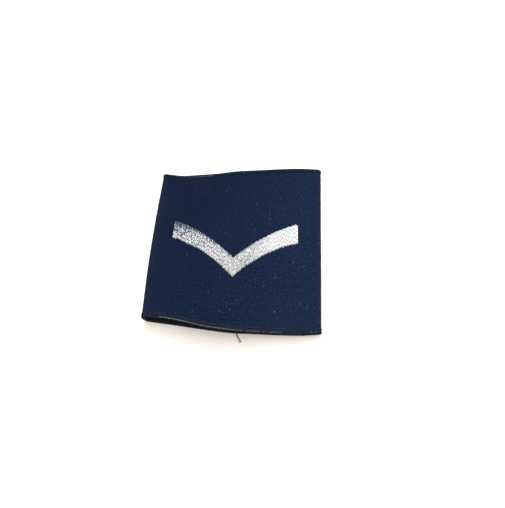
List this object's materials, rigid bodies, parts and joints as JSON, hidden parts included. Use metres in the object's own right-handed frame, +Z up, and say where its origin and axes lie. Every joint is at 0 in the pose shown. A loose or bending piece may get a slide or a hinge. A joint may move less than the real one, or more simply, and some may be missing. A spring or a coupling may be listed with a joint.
{
  "type": "rank slide",
  "caption": "Slip-on shoulder rank slide: a tapered tube of navy cloth, open at both ends, with one raised silver chevron on its front and overlocked hems.",
  "frame": {"origin": "middle of the slide's footprint, on the surface that its back panel lies on", "axes": "+X across the slide from the left fold to the right fold as seen from the front, +Y from the wide end to the narrow end, +Z up out of the front panel"},
  "size_m": [0.0624, 0.062, 0.008],
  "materials": {
    "navy_cloth": "dense matt navy uniform twill with fine light specks",
    "silver_embroidery": "close satin stitches in silver thread with a soft glint",
    "overlock_thread": "dark matt overlock thread with a few pale stitches"
  },
  "bodies": {
    "root": {"sleeve": "navy_cloth", "chevron": "silver_embroidery", "wide_hem": "overlock_thread", "narrow_hem": "overlock_thread"}
  },
  "joints": []
}
